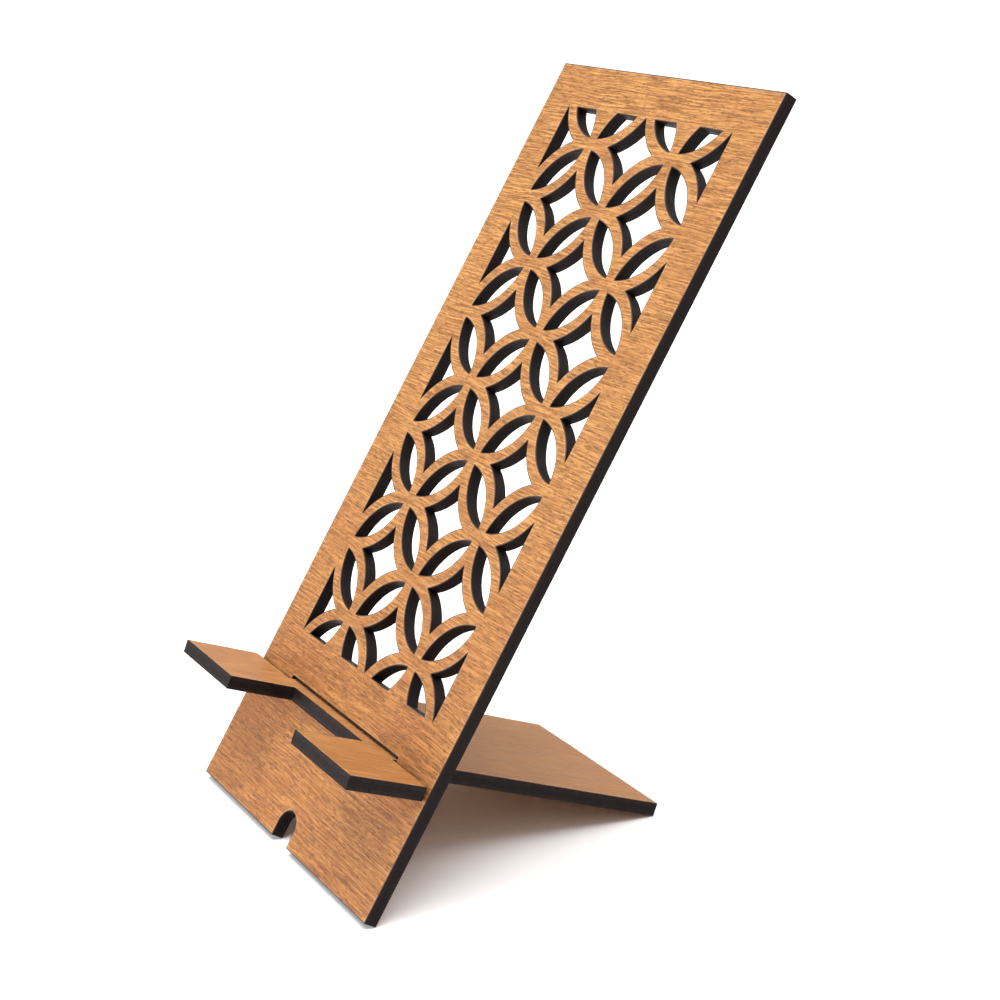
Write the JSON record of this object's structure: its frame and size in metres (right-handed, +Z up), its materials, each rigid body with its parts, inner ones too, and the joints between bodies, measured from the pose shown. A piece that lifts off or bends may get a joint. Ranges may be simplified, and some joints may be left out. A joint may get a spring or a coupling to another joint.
{
  "type": "slot-together display stand",
  "caption": "Slot-together plywood stand: a leaning panel pierced with a ring lattice, held up by a forked support that passes through a slot near its foot.",
  "frame": {"origin": "on the table, under the middle of the whole stand's bounding box", "axes": "+X across the panel, to the right of a person facing it; +Y to the back, the way the panel leans; +Z up"},
  "size_m": [0.082, 0.1012, 0.1644],
  "materials": {
    "panel_wood": "stained plywood face, satin, with laser-charred black edges",
    "support_wood": "stained plywood face, satin, with laser-charred black edges"
  },
  "bodies": {
    "back_panel": {"back_panel": "panel_wood"},
    "support": {"support": "support_wood"}
  },
  "joints": [
    {"name": "support_pull_out", "type": "slide", "parent": "back_panel", "child": "support", "axis": [0, -0.9397, 0.342], "range_m": [0, 0.076]}
  ]
}
